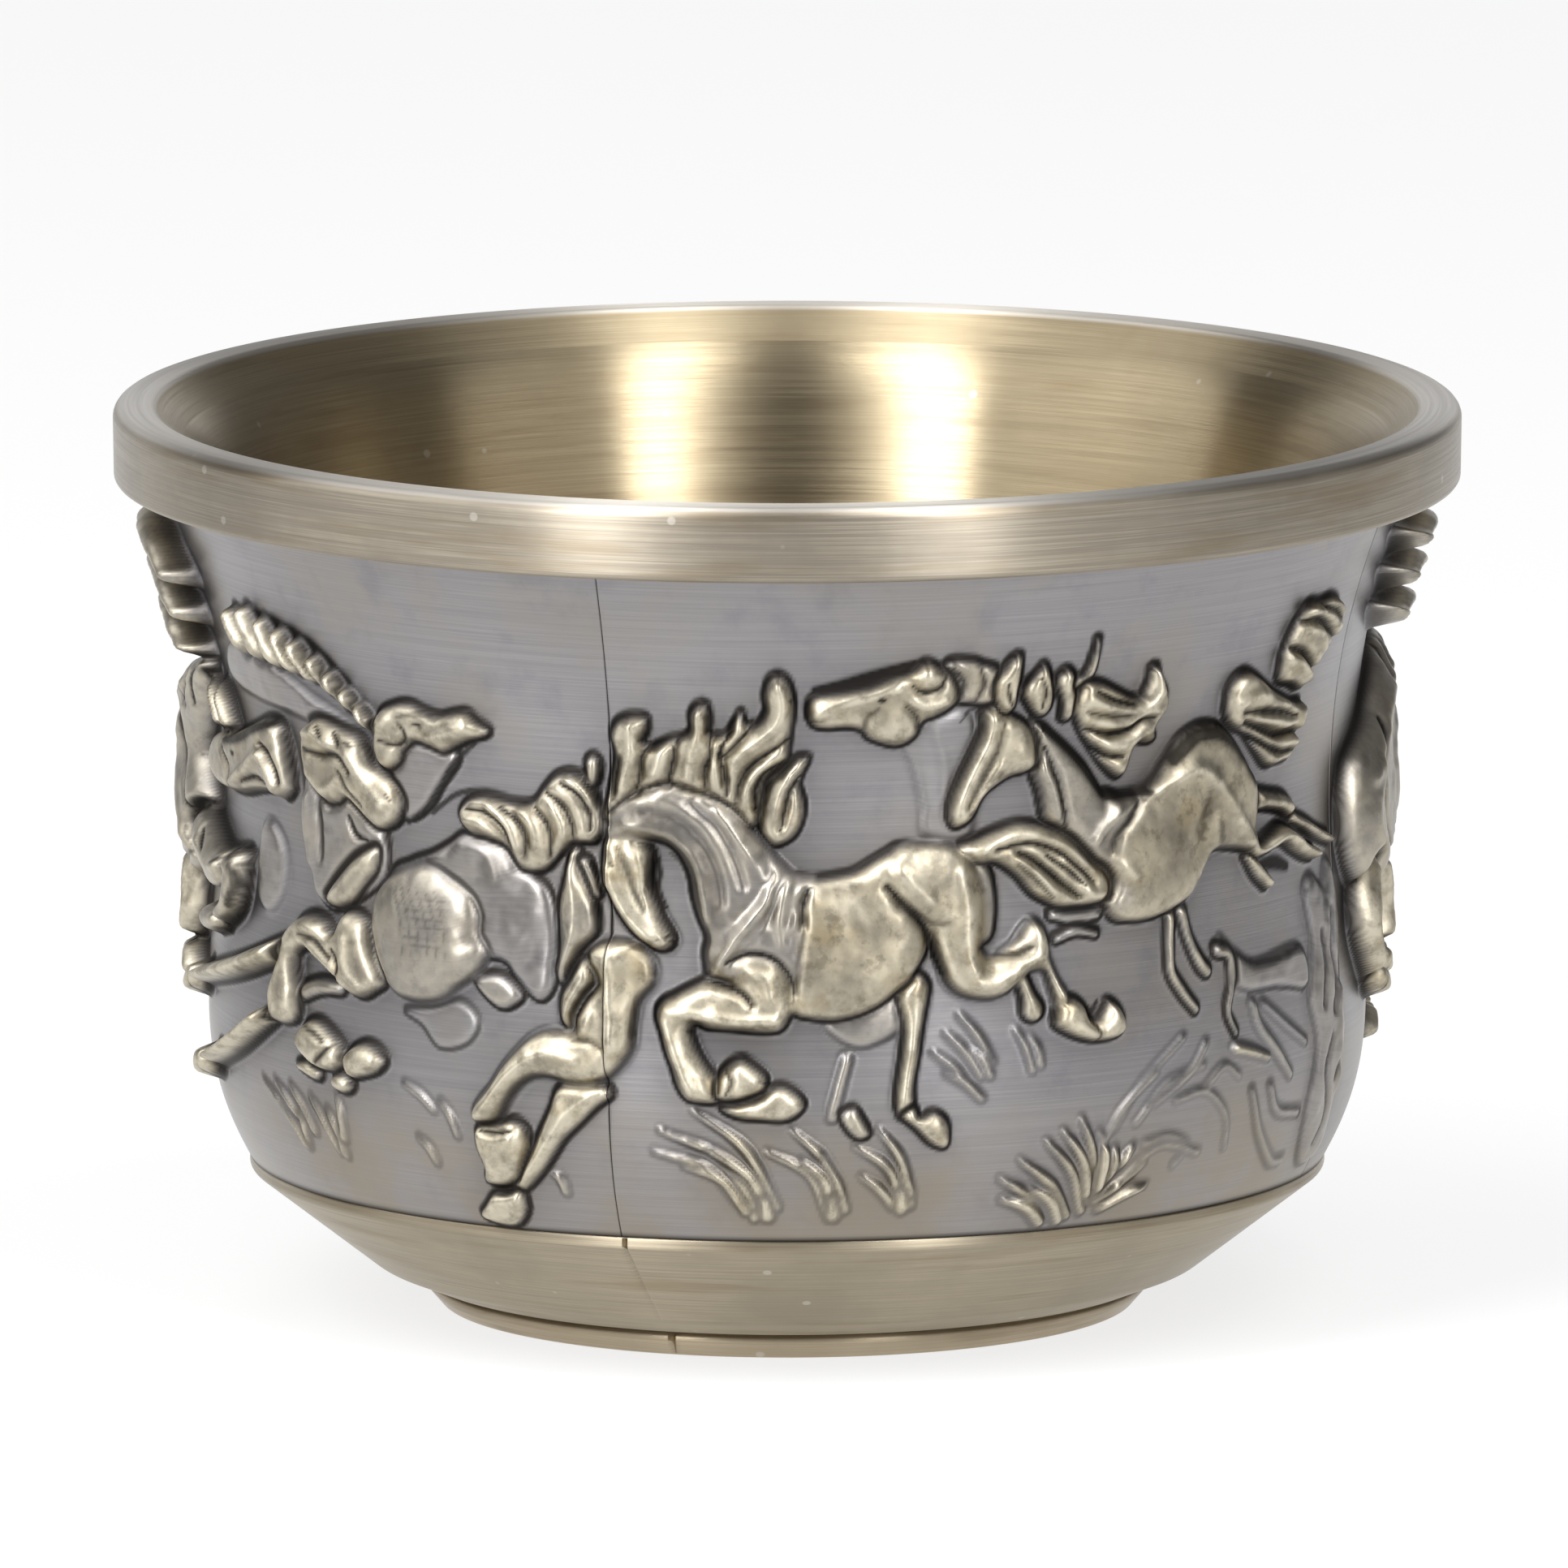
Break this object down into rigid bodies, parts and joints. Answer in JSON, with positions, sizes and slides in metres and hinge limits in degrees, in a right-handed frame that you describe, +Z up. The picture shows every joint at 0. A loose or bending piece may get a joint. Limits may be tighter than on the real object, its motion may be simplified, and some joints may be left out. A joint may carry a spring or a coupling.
{
  "type": "relief drinking cup",
  "caption": "Stemless cast-metal drinking cup with a brushed flared rim, a brass inside and galloping horses in high relief round its waisted wall.",
  "frame": {"origin": "centre of the foot ring's underside, on the surface that the cup stands on", "axes": "+Z up along the cup's axis, -Y towards the front of the frieze as pictured, +X to the right of it"},
  "size_m": [0.06, 0.06, 0.0404],
  "materials": {
    "brushed_band": "brushed round the axis, pale antique brass",
    "liner_brass": "brushed, warm yellow brass",
    "relief_wall": "cast, dark grey patina in the hollows, rubbed pale and brassy on the high spots",
    "base_metal": "turned, dull"
  },
  "bodies": {
    "root": {"rim_collar": "brushed_band", "inner_liner": "liner_brass", "relief_panel_front_right": "relief_wall", "relief_panel_back_right": "relief_wall", "relief_panel_back_left": "relief_wall", "relief_panel_front_left": "relief_wall", "lower_band": "brushed_band", "base_plate": "base_metal", "foot_ring": "brushed_band"}
  },
  "joints": []
}
